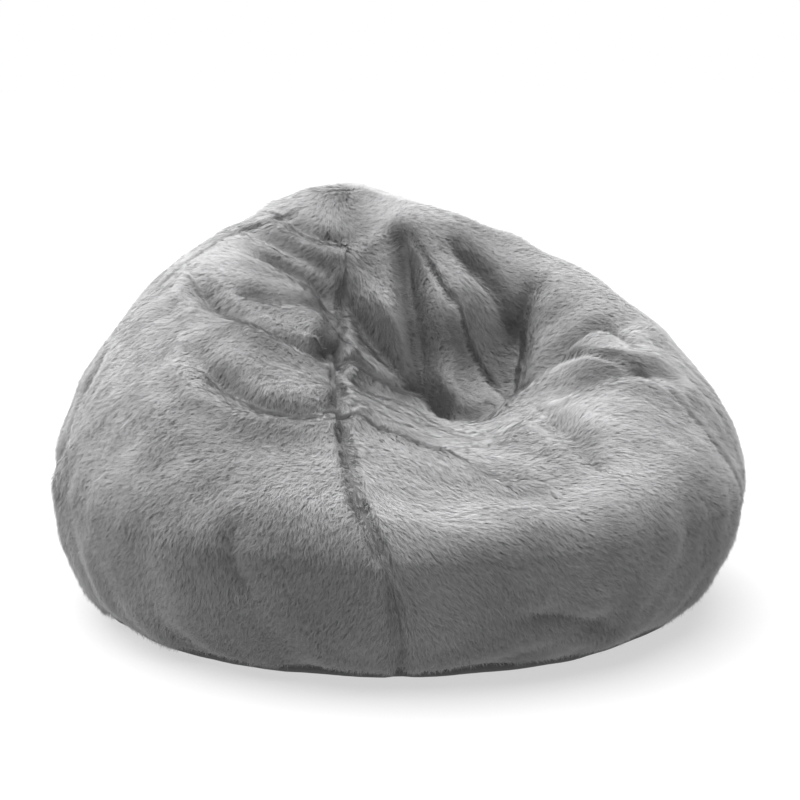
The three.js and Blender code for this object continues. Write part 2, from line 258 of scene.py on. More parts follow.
def make_bag():
    azimuth = FIRST_SEAM + np.arange(STEPS_ROUND) * 2 * math.pi / STEPS_ROUND
    down = np.linspace(0.004, HEM, STEPS_DOWN)
    grid = body(azimuth[None, :], down[:, None])
    across, along, normal = across_and_along(grid)
    pulled = 0
    for crease in CREASES:
        pulled = pulled + crease_shift(grid, normal, **crease)
    for swell in SWELLS:
        middle = body(math.radians(swell["at"][0]), np.float64(swell["at"][1]))
        distance = np.linalg.norm(grid - middle, axis=-1)
        pulled = pulled - swell["height"] * bell(distance, 0, swell["reach"])
    reach = np.linalg.norm(grid - np.roll(grid, 1, axis=1), axis=-1) * STEPS_ROUND / (2 * math.pi)
    from_seam = np.abs((azimuth - FIRST_SEAM + PANEL_TURN / 2) % PANEL_TURN - PANEL_TURN / 2)
    low_down = smooth(down, CROWN_EDGE, 0.12)[:, None]
    uneven = low_down * (0.8 + 0.35 * wave(grid, 0.05, 5))
    pulled = pulled + SEAM["depth"] * uneven * np.exp(-((reach * from_seam / SEAM["width"]) ** 2))
    for swell in UNDULATIONS:
        pulled = pulled - swell["height"] * wave(grid, swell["scale"], swell["seed"])
    inner = grid - normal * widened(pulled, 8)[..., None]
    backed = grid - normal * widened(pulled, 3)[..., None]
    grid = grid - normal * pulled[..., None]
    hollow = np.clip((pulled - evened(pulled, 40)) / 0.006, 0, 1)[..., None]
    across, along, normal = across_and_along(grid)
    return dict(grid=grid, across=across, along=along, normal=normal, down=down, hollow=hollow,
                backed=backed, backed_normal=across_and_along(backed)[2],
                inner=inner, inner_normal=across_and_along(inner)[2])


BAG = make_bag()


def sample(field, azimuth, down):
    """A field of BAG between its grid points, by bilinear steps."""
    column = ((azimuth - FIRST_SEAM) / (2 * math.pi) * STEPS_ROUND) % STEPS_ROUND
    first = BAG["down"][0]
    row = np.clip((down - first) / (HEM - first) * (STEPS_DOWN - 1), 0, STEPS_DOWN - 1.001)
    j = np.floor(column).astype(int)
    i = np.floor(row).astype(int)
    b = (column - j)[..., None]
    a = (row - i)[..., None]
    j, k = j % STEPS_ROUND, (j + 1) % STEPS_ROUND
    values = BAG[field]
    near = values[i, j] * (1 - b) + values[i, k] * b
    far = values[i + 1, j] * (1 - b) + values[i + 1, k] * b
    return near * (1 - a) + far * a


def layer_point(azimuth, down, inset, layer="backed"):
    ways = sample(f"{layer}_normal", azimuth, down)
    ways /= np.linalg.norm(ways, axis=-1, keepdims=True)
    return sample(layer, azimuth, down) - ways * np.asarray(inset)[..., None]


def inner_point(azimuth, down, inset):
    return layer_point(azimuth, down, inset, "inner")


# ---- Meshes ----
def object_from(bm, name, material):
    mesh = bpy.data.meshes.new(name)
    bm.to_mesh(mesh)
    bm.free()
    mesh.materials.append(material)
    mesh.shade_smooth()
    piece = bpy.data.objects.new(name, mesh)
    bpy.context.collection.objects.link(piece)
    return piece


def cloth_patch(name, place, columns, rows, size, material, outwards=True, closed=False):
    """A grid made by the operator, each of its points then put where place(across, down) says.

    size is the cloth's own width and length in metres, which its UV map runs over. A closed patch goes
    round the bag, and its first row closes to a point.
    """
    bm = bmesh.new()
    threads = bm.loops.layers.uv.new("cloth")
    bmesh.ops.create_grid(bm, x_segments=columns, y_segments=rows, size=1)
    across = np.array([v.co.x for v in bm.verts]) * 0.5 + 0.5
    down = np.array([v.co.y for v in bm.verts]) * 0.5 + 0.5
    for face in bm.faces:
        for loop in face.loops:
            at = loop.vert.co
            loop[threads].uv = ((at.x * 0.5 + 0.5) * size[0], (at.y * 0.5 + 0.5) * size[1])
    for vert, point in zip(bm.verts, place(across, down)):
        vert.co = point
    if closed:
        first = [v for v, share in zip(bm.verts, down) if share < 1e-6]
        bmesh.ops.pointmerge(bm, verts=first, merge_co=sum((v.co for v in first), Vector()) / len(first))
        bmesh.ops.remove_doubles(bm, verts=bm.verts, dist=1e-5)
    if outwards:
        bmesh.ops.reverse_faces(bm, faces=bm.faces)
    return object_from(bm, name, material)


def thicken(piece, thickness):
    wall = piece.modifiers.new("thickness", "SOLIDIFY")
    wall.thickness = thickness
    wall.offset = -1


# ---- Materials ----
PATTERN_OUTPUTS = (("Color", "NodeSocketColor"), ("Height", "NodeSocketFloat"),
                   ("Roughness", "NodeSocketFloat"))


def weave_group():
    """A plain weave over the cloth's own UV map, with uneven threads and a little soiling."""
    group = bpy.data.node_groups.new("plain_weave", "ShaderNodeTree")
    face = group.interface
    for name, kind in (("Cloth", "NodeSocketVector"), ("Place", "NodeSocketVector"),
                       ("Threads per Metre", "NodeSocketFloat"), ("Warp Color", "NodeSocketColor"),
                       ("Weft Color", "NodeSocketColor"), ("Wear Color", "NodeSocketColor"),
                       ("Wear", "NodeSocketFloat")):
        face.new_socket(name=name, in_out="INPUT", socket_type=kind)
    for name, kind in PATTERN_OUTPUTS:
        face.new_socket(name=name, in_out="OUTPUT", socket_type=kind)
    nodes, links = group.nodes, group.links
    given = nodes.new("NodeGroupInput")
    result = nodes.new("NodeGroupOutput")
    split = nodes.new("ShaderNodeSeparateXYZ")
    links.new(given.outputs["Cloth"], split.inputs["Vector"])

    def math_node(operation, first, second=None, amount=None):
        node = nodes.new("ShaderNodeMath")
        node.operation = operation
        links.new(first, node.inputs[0])
        if second is not None:
            links.new(second, node.inputs[1])
        if amount is not None:
            node.inputs[1].default_value = amount
        return node.outputs["Value"]

    turns = math_node("MULTIPLY", given.outputs["Threads per Metre"], amount=math.pi)
    warp = math_node("SINE", math_node("MULTIPLY", split.outputs["X"], turns))
    weft = math_node("SINE", math_node("MULTIPLY", split.outputs["Y"], turns))
    crossing = math_node("MULTIPLY", warp, weft)
    over = math_node("MULTIPLY_ADD", crossing, amount=0.5)
    over.node.inputs[2].default_value = 0.5
    slubs = nodes.new("ShaderNodeTexNoise")
    slubs.inputs["Scale"].default_value = 90
    slubs.inputs["Detail"].default_value = 3
    links.new(given.outputs["Place"], slubs.inputs["Vector"])
    stains = nodes.new("ShaderNodeTexNoise")
    stains.inputs["Scale"].default_value = 7
    stains.inputs["Detail"].default_value = 5
    stains.inputs["Roughness"].default_value = 0.65
    links.new(given.outputs["Place"], stains.inputs["Vector"])
    threads = nodes.new("ShaderNodeMix")
    threads.data_type = "RGBA"
    links.new(over, threads.inputs["Factor"])
    links.new(given.outputs["Warp Color"], threads.inputs["A"])
    links.new(given.outputs["Weft Color"], threads.inputs["B"])
    worn = nodes.new("ShaderNodeMapRange")
    worn.inputs["From Min"].default_value = 0.50
    worn.inputs["From Max"].default_value = 0.72
    links.new(stains.outputs["Fac"], worn.inputs["Value"])
    share = math_node("MULTIPLY", worn.outputs["Result"], given.outputs["Wear"])
    soiled = nodes.new("ShaderNodeMix")
    soiled.data_type = "RGBA"
    links.new(share, soiled.inputs["Factor"])
    links.new(threads.outputs["Result"], soiled.inputs["A"])
    links.new(given.outputs["Wear Color"], soiled.inputs["B"])
    uneven = math_node("MULTIPLY", slubs.outputs["Fac"], amount=0.6)
    height = math_node("ADD", over, uneven)
    rough = nodes.new("ShaderNodeMapRange")
    rough.inputs["To Min"].default_value = 0.68
    rough.inputs["To Max"].default_value = 0.92
    links.new(slubs.outputs["Fac"], rough.inputs["Value"])
    links.new(soiled.outputs["Result"], result.inputs["Color"])
    links.new(height, result.inputs["Height"])
    links.new(rough.outputs["Result"], result.inputs["Roughness"])
    return group


def grain_group():
    """Fine grain with paler rubbed patches, for moulded and plated parts."""
    group = bpy.data.node_groups.new("rubbed_grain", "ShaderNodeTree")
    face = group.interface
    for name, kind in (("Place", "NodeSocketVector"), ("Scale", "NodeSocketFloat"),
                       ("Color", "NodeSocketColor"), ("Rubbed Color", "NodeSocketColor"),
                       ("Rubbed", "NodeSocketFloat"),
                       ("Smooth", "NodeSocketFloat"), ("Rough", "NodeSocketFloat")):
        face.new_socket(name=name, in_out="INPUT", socket_type=kind)
    for name, kind in PATTERN_OUTPUTS:
        face.new_socket(name=name, in_out="OUTPUT", socket_type=kind)
    nodes, links = group.nodes, group.links
    given = nodes.new("NodeGroupInput")
    result = nodes.new("NodeGroupOutput")
    grain = nodes.new("ShaderNodeTexNoise")
    grain.inputs["Detail"].default_value = 6
    grain.inputs["Roughness"].default_value = 0.6
    links.new(given.outputs["Place"], grain.inputs["Vector"])
    links.new(given.outputs["Scale"], grain.inputs["Scale"])
    patches = nodes.new("ShaderNodeMapRange")
    patches.inputs["From Min"].default_value = 0.48
    patches.inputs["From Max"].default_value = 0.70
    links.new(grain.outputs["Fac"], patches.inputs["Value"])
    amount = nodes.new("ShaderNodeMath")
    amount.operation = "MULTIPLY"
    links.new(patches.outputs["Result"], amount.inputs[0])
    links.new(given.outputs["Rubbed"], amount.inputs[1])
    shade = nodes.new("ShaderNodeMix")
    shade.data_type = "RGBA"
    links.new(amount.outputs["Value"], shade.inputs["Factor"])
    links.new(given.outputs["Color"], shade.inputs["A"])
    links.new(given.outputs["Rubbed Color"], shade.inputs["B"])
    rough = nodes.new("ShaderNodeMapRange")
    links.new(grain.outputs["Fac"], rough.inputs["Value"])
    links.new(given.outputs["Smooth"], rough.inputs["To Min"])
    links.new(given.outputs["Rough"], rough.inputs["To Max"])
    links.new(shade.outputs["Result"], result.inputs["Color"])
    links.new(grain.outputs["Fac"], result.inputs["Height"])
    links.new(rough.outputs["Result"], result.inputs["Roughness"])
    return group


WEAVE = weave_group()
GRAIN = grain_group()


def finished(name, group, values, bump, cloth=False, metallic=0.0, sheen=0.0, specular=0.4):
    """A material whose colour, roughness and bump come from one of the two groups."""
    material = bpy.data.materials.new(name)
    material.use_nodes = True
    nodes, links = material.node_tree.nodes, material.node_tree.links
    shader = nodes["Principled BSDF"]
    shader.inputs["Metallic"].default_value = metallic
    shader.inputs["Sheen Weight"].default_value = sheen
    shader.inputs["Specular IOR Level"].default_value = specular
    pattern = nodes.new("ShaderNodeGroup")
    pattern.node_tree = group
    for socket, value in values.items():
        pattern.inputs[socket].default_value = value
    place = nodes.new("ShaderNodeTexCoord")
    links.new(place.outputs["Object"], pattern.inputs["Place"])
    if cloth:
        threads = nodes.new("ShaderNodeUVMap")
        threads.uv_map = "cloth"
        links.new(threads.outputs["UV"], pattern.inputs["Cloth"])
    relief = nodes.new("ShaderNodeBump")
    relief.inputs["Strength"].default_value = bump[0]
    relief.inputs["Distance"].default_value = bump[1]
    links.new(pattern.outputs["Height"], relief.inputs["Height"])
    links.new(pattern.outputs["Color"], shader.inputs["Base Color"])
    links.new(pattern.outputs["Roughness"], shader.inputs["Roughness"])
    links.new(relief.outputs["Normal"], shader.inputs["Normal"])
    return material


def cloth_finish(name, threads, warp, weft, wear_color, wear, bump=(0.5, 0.0004), sheen=0.1):
    values = {"Threads per Metre": threads, "Warp Color": (*warp, 1), "Weft Color": (*weft, 1),
              "Wear Color": (*wear_color, 1), "Wear": wear}
    return finished(name, WEAVE, values, bump, cloth=True, sheen=sheen, specular=0.25)


def hard_finish(name, scale, color, rubbed_color, rubbed, rough, bump, metallic=0.0):
    values = {"Scale": scale, "Color": (*color, 1), "Rubbed Color": (*rubbed_color, 1), "Rubbed": rubbed,
              "Smooth": rough[0], "Rough": rough[1]}
    return finished(name, GRAIN, values, bump, metallic=metallic)


BACKING = cloth_finish("knitted_backing", 900, (0.130, 0.130, 0.131), (0.175, 0.175, 0.176),
                       (0.19, 0.19, 0.19), 0.3)
BASE_CLOTH = cloth_finish("dark_base_cloth", 1100, (0.030, 0.030, 0.032), (0.052, 0.052, 0.055),
                          (0.10, 0.095, 0.09), 0.35)
LINER_CLOTH = cloth_finish("liner_cloth", 1500, (0.64, 0.63, 0.60), (0.74, 0.73, 0.70),
                           (0.55, 0.53, 0.49), 0.25, bump=(0.3, 0.0002), sheen=0.05)
TAPE_CLOTH = cloth_finish("zip_tape_weave", 1800, (0.020, 0.020, 0.022), (0.042, 0.042, 0.045),
                          (0.09, 0.09, 0.09), 0.3)
LABEL_CLOTH = cloth_finish("label_satin", 2600, (0.74, 0.73, 0.70), (0.82, 0.81, 0.78),
                           (0.66, 0.63, 0.57), 0.3, bump=(0.3, 0.0001), sheen=0.2)
TEETH_PLASTIC = hard_finish("zip_teeth_plastic", 700, (0.016, 0.016, 0.018), (0.06, 0.06, 0.06), 0.5,
                            (0.32, 0.55), (0.25, 0.0001))
ZIP_METAL = hard_finish("darkened_zip_metal", 500, (0.055, 0.055, 0.058), (0.42, 0.41, 0.39), 0.45,
                        (0.25, 0.5), (0.2, 0.00008), metallic=1.0)
THREAD = hard_finish("sewing_thread", 2200, (0.030, 0.030, 0.032), (0.10, 0.10, 0.10), 0.6,
                     (0.6, 0.9), (0.5, 0.0001))
FLOOR_FINISH = hard_finish("studio_floor", 3, (0.19, 0.19, 0.19), (0.21, 0.21, 0.21),
                           0.5, (0.8, 0.9), (0.05, 0.0005))
FLOOR_SHADER = FLOOR_FINISH.node_tree.nodes["Principled BSDF"]
FLOOR_SHADER.inputs["Emission Color"].default_value = (1, 1, 1, 1)
FLOOR_SHADER.inputs["Emission Strength"].default_value = 0.6


def bead_finish():
    """Small white foam beads pressed together, seen where the liner is off, greyed towards their edges as
    painted shade between the beads.
    """
    material = bpy.data.materials.new("foam_beads")
    material.use_nodes = True
    nodes, links = material.node_tree.nodes, material.node_tree.links
    shader = nodes["Principled BSDF"]
    shader.inputs["Specular IOR Level"].default_value = 0.35
    place = nodes.new("ShaderNodeTexCoord")
    beads = nodes.new("ShaderNodeTexVoronoi")
    beads.inputs["Scale"].default_value = 230
    # White at each bead's middle, grey towards its edge: painted shade in the gaps between the beads.
    beads_with_painted_gap_shade = nodes.new("ShaderNodeValToRGB")
    beads_with_painted_gap_shade.color_ramp.elements[0].color = (0.90, 0.90, 0.885, 1)
    beads_with_painted_gap_shade.color_ramp.elements[1].color = (0.42, 0.42, 0.41, 1)
    beads_with_painted_gap_shade.color_ramp.elements[0].position = 0.35
    beads_with_painted_gap_shade.color_ramp.elements[1].position = 0.75
    dome = nodes.new("ShaderNodeMath")
    dome.operation = "SUBTRACT"
    dome.inputs[0].default_value = 1
    rough = nodes.new("ShaderNodeMapRange")
    rough.inputs["To Min"].default_value = 0.5
    rough.inputs["To Max"].default_value = 0.8
    relief = nodes.new("ShaderNodeBump")
    relief.inputs["Strength"].default_value = 0.8
    relief.inputs["Distance"].default_value = 0.0015
    links.new(place.outputs["Object"], beads.inputs["Vector"])
    links.new(beads.outputs["Distance"], beads_with_painted_gap_shade.inputs["Fac"])
    links.new(beads.outputs["Distance"], rough.inputs["Value"])
    links.new(beads.outputs["Distance"], dome.inputs[1])
    links.new(dome.outputs["Value"], relief.inputs["Height"])
    links.new(beads_with_painted_gap_shade.outputs["Color"], shader.inputs["Base Color"])
    links.new(rough.outputs["Result"], shader.inputs["Roughness"])
    links.new(relief.outputs["Normal"], shader.inputs["Normal"])
    return material


BEADS = bead_finish()


# ---- Pile ----
def pile_material():
    """Grey fibre, darker at its root. The UV map runs across tones, which hold painted light on up-facing
    pile and painted shade in creases and lifted pile, and from root (0) to tip (1).
    """
    material = bpy.data.materials.new("long_pile")
    material.use_nodes = True
    nodes, links = material.node_tree.nodes, material.node_tree.links
    shader = nodes["Principled BSDF"]
    shader.inputs["Roughness"].default_value = 0.75
    shader.inputs["Specular IOR Level"].default_value = 0.3
    shader.inputs["Sheen Weight"].default_value = 0.25
    shader.inputs["Sheen Roughness"].default_value = 0.5
    place = nodes.new("ShaderNodeUVMap")
    place.uv_map = "OFBake"
    split = nodes.new("ShaderNodeSeparateXYZ")
    ramp = nodes.new("ShaderNodeValToRGB")
    ramp.color_ramp.elements[0].color = (0.165, 0.165, 0.166, 1)
    ramp.color_ramp.elements[1].color = (0.33, 0.33, 0.333, 1)
    middle = ramp.color_ramp.elements.new(0.45)
    middle.color = (0.245, 0.245, 0.247, 1)
    # The tone multiplies the colour; besides the fibres' own tone it holds painted light and painted shade.
    tone_and_painted_light = nodes.new("ShaderNodeMapRange")
    tone_and_painted_light.inputs["To Min"].default_value = 0.48
    tone_and_painted_light.inputs["To Max"].default_value = 1.75
    shade = nodes.new("ShaderNodeMix")
    shade.data_type = "RGBA"
    shade.blend_type = "MULTIPLY"
    shade.inputs["Factor"].default_value = 1
    links.new(place.outputs["UV"], split.inputs["Vector"])
    links.new(split.outputs["Y"], ramp.inputs["Fac"])
    links.new(split.outputs["X"], tone_and_painted_light.inputs["Value"])
    links.new(ramp.outputs["Color"], shade.inputs["A"])
    links.new(tone_and_painted_light.outputs["Result"], shade.inputs["B"])
    links.new(shade.outputs["Result"], shader.inputs["Base Color"])
    return material


def unit(vectors):
    return vectors / (np.linalg.norm(vectors, axis=-1, keepdims=True) + 1e-12)


def scatter(columns, rows, count, source):
    """Random roots, even by area, over a block of the bag's grid: their grid rows and columns."""
    grid = BAG["grid"]
    j = np.arange(*columns)
    i = np.arange(*rows)
    corner = grid[np.ix_(i, j % STEPS_ROUND)]
    right = grid[np.ix_(i, (j + 1) % STEPS_ROUND)] - corner
    below = grid[np.ix_(i + 1, j % STEPS_ROUND)] - corner
    areas = np.linalg.norm(np.cross(right, below), axis=-1).ravel()
    edges = np.cumsum(areas) / areas.sum()
    cell = np.minimum(np.searchsorted(edges, source.random(count)), len(edges) - 1)
    row = i[cell // len(j)] + source.random(count)
    column = j[cell % len(j)] + source.random(count)
    return row, column


def at_grid(field, row, column):
    values = BAG[field]
    i, j = np.floor(row).astype(int), np.floor(column).astype(int)
    a, b = (row - i)[:, None], (column - j)[:, None]
    j, k = j % STEPS_ROUND, (j + 1) % STEPS_ROUND
    near = values[i, j] * (1 - b) + values[i, k] * b
    far = values[i + 1, j] * (1 - b) + values[i + 1, k] * b
    return near * (1 - a) + far * a


def tufts(points, size, source):
    """Numbers the points by the tuft that they stand in, each tuft an uneven patch of that size."""
    swayed = points + 0.35 * size * np.stack([wave(points, 3.1 * size, k) for k in (21, 22, 23)], -1)
    cell = np.floor(swayed / size + source.random(3)).astype(np.int64)
    key = (cell[:, 0] * 4099 + cell[:, 1]) * 4099 + cell[:, 2]
    return np.unique(key, return_inverse=True)


def tuft_mean(values, tuft, count):
    sums = np.stack([np.bincount(tuft, values[:, k], count) for k in range(3)], -1)
    return sums / np.bincount(tuft, minlength=count)[:, None]


# Where the pile has been brushed up: azimuth in degrees, down, how far it reaches and how much it lifts. The
# fibres there are also darkened in tone as painted shade.
BRUSHED_AND_PAINTED_SHADE = (
    (0, 0.0, 0.03, 0.5), (-118, 0.72, 0.12, 0.45), (-100, 0.95, 0.09, 0.30), (-52, 0.62, 0.05, 0.30),
    (-30, 1.15, 0.10, 0.20), (60, 0.70, 0.10, 0.30), (150, 0.80, 0.12, 0.30),
)
SWIRL, SWIRL_REACH = 1.1, 0.10  # the pile turns round the apex, in radians, within this distance


def blades(name, block, nap, count, seed, material, length, width, joints):
    """One mesh of many flat fibres rooted in the backing cloth. joints is 1 for a straight fibre."""
    source = np.random.default_rng(seed)
    row, column = scatter(*block, count, source)
    normal = unit(at_grid("normal", row, column))
    along = unit(at_grid("along", row, column))
    across = unit(at_grid("across", row, column))
    root = at_grid("grid", row, column) - normal * (BACKING_INSET + 0.001)
    keys, tuft = tufts(root, TUFT_SIZE, source)
    total = len(keys)
    turn = nap + 0.35 * wave(root, 0.14, 11) + source.normal(0, 0.17, total)[tuft]
    from_apex = np.linalg.norm(root - BAG["grid"][0, 0], axis=1)
    turn += source.normal(0, 0.30, count) + SWIRL * bell(from_apex, 0, SWIRL_REACH)
    facing_up = np.clip(normal[:, 2], 0, 1)
    spread = 1 - 0.5 * facing_up
    uneven = 0.14 * wave(root, 0.07, 12) + source.normal(0, 0.08, total)[tuft]
    lean = LEAN + 0.22 * facing_up + spread * uneven
    # This both lifts the fibres and, further down, darkens their tone as painted shade, in the brushed
    # places and in the crease hollows.
    lift_and_painted_shade = np.zeros(count)
    for azimuth, down, reach, lift in BRUSHED_AND_PAINTED_SHADE:
        place = body(math.radians(azimuth), np.float64(down))
        lift_and_painted_shade += lift * bell(np.linalg.norm(root - place, axis=1), 0, reach)
    lift_and_painted_shade += 0.45 * at_grid("hollow", row, column)[:, 0]
    lean = np.clip(lean - lift_and_painted_shade + spread * source.normal(0, 0.10, count), 0.3, 1.50)
    flat = unit(along * np.cos(turn)[:, None] + across * np.sin(turn)[:, None])
    flat = unit(flat - normal * np.einsum("ij,ij->i", flat, normal)[:, None])
    rise, reach = np.cos(lean)[:, None], np.sin(lean)[:, None]
    first = unit(normal * (rise + RISE_AT_ROOT) + flat * reach)
    last = unit(normal * rise * 0.7 + flat * reach)
    size = length * source.uniform(0.78, 1.12, count) * source.uniform(0.88, 1.12, total)[tuft]
    size = size[:, None]
    middle = root + first * size * 0.5
    tip = middle + last * size * 0.5
    centre = tuft_mean(tip, tuft, total)[tuft]
    tip = tip + (centre - tip) * CLUMPING
    middle = middle + (tuft_mean(middle, tuft, total)[tuft] - middle) * CLUMPING * 0.35
    heading = unit(tip - root)
    side = unit(np.cross(normal, heading))
    roll = source.uniform(-0.45, 0.45, count)[:, None]
    side = side * np.cos(roll) + np.cross(heading, side) * np.sin(roll)
    half = side * (width * source.uniform(0.7, 1.2, count)[:, None]) / 2
    # The tone is partly painted light: fibres on up-facing surfaces get a lighter tone for the light from
    # above, on top of the random tone of tufts and fibres.
    tone_and_painted_light = 0.13 + 0.49 * facing_up + 0.07 * wave(root, 0.20, 31) + source.normal(0, 0.022, total)[tuft]
    # Painted shade: the tone is darkened where the pile is lifted and in the crease hollows.
    tone_and_painted_light = np.clip(tone_and_painted_light - 0.20 * lift_and_painted_shade + source.normal(0, 0.040, count), 0.03, 0.97)
    face_normal = unit(np.cross(-side, heading))
    shading = unit(face_normal * 0.14 + normal * 0.86)
    if joints == 1:
        points = np.stack([root + half, root - half, tip], 1)
        shares = np.array([0.0, 0.0, 1.0])
        offsets = np.array([0.01, -0.01, 0.0])
        triangles = np.array([[0, 1, 2]])
    else:
        points = np.stack([root + half * 0.8, root - half * 0.8, middle - half, middle + half, tip], 1)
        shares = np.array([0.0, 0.0, 0.5, 0.5, 1.0])
        offsets = np.array([0.01, -0.01, -0.01, 0.01, 0.0])
        triangles = np.array([[0, 1, 2], [0, 2, 3], [3, 2, 4]])
    corners = points.shape[1]
    faces = (np.arange(count)[:, None, None] * corners + triangles).reshape(-1)
    mesh = bpy.data.meshes.new(name)
    mesh.vertices.add(count * corners)
    mesh.vertices.foreach_set("co", points.reshape(-1).astype(np.float32))
    mesh.loops.add(len(faces))
    mesh.loops.foreach_set("vertex_index", faces.astype(np.int32))
    mesh.polygons.add(len(faces) // 3)
    mesh.polygons.foreach_set("loop_start", np.arange(0, len(faces), 3, dtype=np.int32))
    mesh.update(calc_edges=True)
    uv = np.empty((count, corners, 2), np.float32)
    uv[:, :, 0] = tone_and_painted_light[:, None] + offsets
    uv[:, :, 1] = 0.02 + 0.96 * shares
    layer = mesh.uv_layers.new(name="OFBake")
    layer.uv.foreach_set("vector", uv.reshape(-1, 2)[faces].reshape(-1))
    mesh.shade_smooth()
    mesh.normals_split_custom_set_from_vertices(np.repeat(shading, corners, axis=0))
    mesh.materials.append(material)
    piece = bpy.data.objects.new(name, mesh)
    bpy.context.collection.objects.link(piece)
    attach(piece, "bag")
    return piece


TUFT_SIZE = 0.0048
CLUMPING = 0.13
LEAN = 1.22
RISE_AT_ROOT = 0.25
NAPS = {"front_right": 0.55, "right": 0.2, "back": 0.0, "left": -0.2, "front_left": -0.5}
UNDER_COUNT, GUARD_COUNT = 156000, 50000
UNDER = dict(length=0.0118, width=0.00070, joints=1)
GUARD = dict(length=0.0150, width=0.00055, joints=2)
PILE_END = 1.668  # the pile stops here and leaves a dark strip of backing above the hem

FIBRE = pile_material()


# ---- Cover: a backing cloth for each panel, with its pile ----
def grid_row(down):
    first = BAG["down"][0]
    return int(round((down - first) / (HEM - first) * (STEPS_DOWN - 1)))


def on_bag(piece, slot, *nodes):
    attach(piece, "bag")
    if nodes:
        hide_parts(*nodes)


def make_cover_panel(index):
    panel = PANELS[index]
    start = FIRST_SEAM + index * PANEL_TURN
    length, width, area = COVER_CUT[panel]

    def place(across, down):
        azimuth = start + across * PANEL_TURN
        downs = CROWN_EDGE + down * (HEM - CROWN_EDGE)
        return layer_point(azimuth, downs, np.full(len(down), BACKING_INSET))

    backing = cloth_patch(f"cover_backing_{panel}", place, 64, 104, (width, length), BACKING)
    thicken(backing, 0.0015)
    on_bag(backing, "pile_fabric", f"cover_panel_{panel}")
    columns = STEPS_ROUND // len(PANELS)
    block = ((index * columns, (index + 1) * columns), (grid_row(CROWN_EDGE), grid_row(PILE_END)))
    nap = NAPS[panel]
    pile = blades(f"pile_{panel}", block, nap, UNDER_COUNT, seed=100 + index, material=FIBRE, **UNDER)
    hair = blades(f"guard_hair_{panel}", block, nap, GUARD_COUNT, seed=200 + index, material=FIBRE, **GUARD)


def make_cover_crown():
    def place(across, down):
        azimuth = FIRST_SEAM + across * 2 * math.pi
        return layer_point(azimuth, np.maximum(down * CROWN_EDGE, 0.004), np.full(len(down), BACKING_INSET))

    crown = cloth_patch("cover_backing_crown", place, 160, 12, (0.12, 0.12), BACKING, closed=True)
    thicken(crown, 0.0015)
    on_bag(crown, "pile_fabric", "cover_crown")
    block = ((0, STEPS_ROUND), (0, grid_row(CROWN_EDGE)))
    pile = blades("pile_crown", block, 0.0, 9000, seed=300, material=FIBRE, **UNDER)
    hair = blades("guard_hair_crown", block, 0.0, 4000, seed=301, material=FIBRE, **GUARD)


# ---- Liner and fill ----
def make_liner_panel(index):
    panel = PANELS[index]
    start = FIRST_SEAM + index * PANEL_TURN
    length, width, area = LINER_CUT[panel]

    def place(across, down):
        azimuth = start + (0.001 + across * 0.998) * PANEL_TURN
        downs = CROWN_EDGE + down * (HEM - CROWN_EDGE)
        calm = inner_point(azimuth, downs, np.full(len(down), 0.0))
        ripple = 0.0010 * wave(calm, 0.06, 41) + 0.0006 * wave(calm, 0.022, 42)
        return inner_point(azimuth, downs, LINER_INSET + ripple)

    cloth = cloth_patch(f"liner_cloth_{panel}", place, 40, 72, (width, length), LINER_CLOTH)
    thicken(cloth, 0.0008)
    on_bag(cloth, "liner_fabric", f"liner_panel_{panel}")


def make_liner_crown():
    def place(across, down):
        azimuth = FIRST_SEAM + across * 2 * math.pi
        return inner_point(azimuth, np.maximum(down * CROWN_EDGE, 0.004), np.full(len(down), LINER_INSET))

    cloth = cloth_patch("liner_cloth_crown", place, 80, 8, (0.10, 0.10), LINER_CLOTH, closed=True)
    thicken(cloth, 0.0008)
    on_bag(cloth, "liner_fabric", "liner_crown")


def make_fill():
    """The heap of beads, lumpy where the beads have packed, closed at the apex and over the floor."""
    def place(across, down):
        azimuth = FIRST_SEAM + across * 2 * math.pi
        downs = np.clip(down / 0.86, 0.0022, 1) * HEM
        calm = inner_point(azimuth, downs, np.full(len(down), 0.0))
        lumps = 0.0012 * wave(calm, 0.05, 51) + 0.0008 * wave(calm, 0.02, 52)
        side = inner_point(azimuth, downs, FILL_INSET + lumps)
        inwards = np.clip((down - 0.86) / 0.14, 0, 1)[:, None]
        middle = np.array([FOOT_LEAN, 0, FILL_FLOOR])
        under = side * np.array([1, 1, 0]) * 0.97 + np.array([0, 0, FILL_FLOOR])
        curve = side + (under - side) * np.minimum(inwards * 6, 1)
        return np.where(inwards < 1 / 6, curve, under + (middle - under) * (inwards - 1 / 6) * 1.2)

    heap = cloth_patch("bead_heap", place, 140, 120, (2.6, 1.2), BEADS, closed=True)
    on_bag(heap, "beads", "bead_fill")


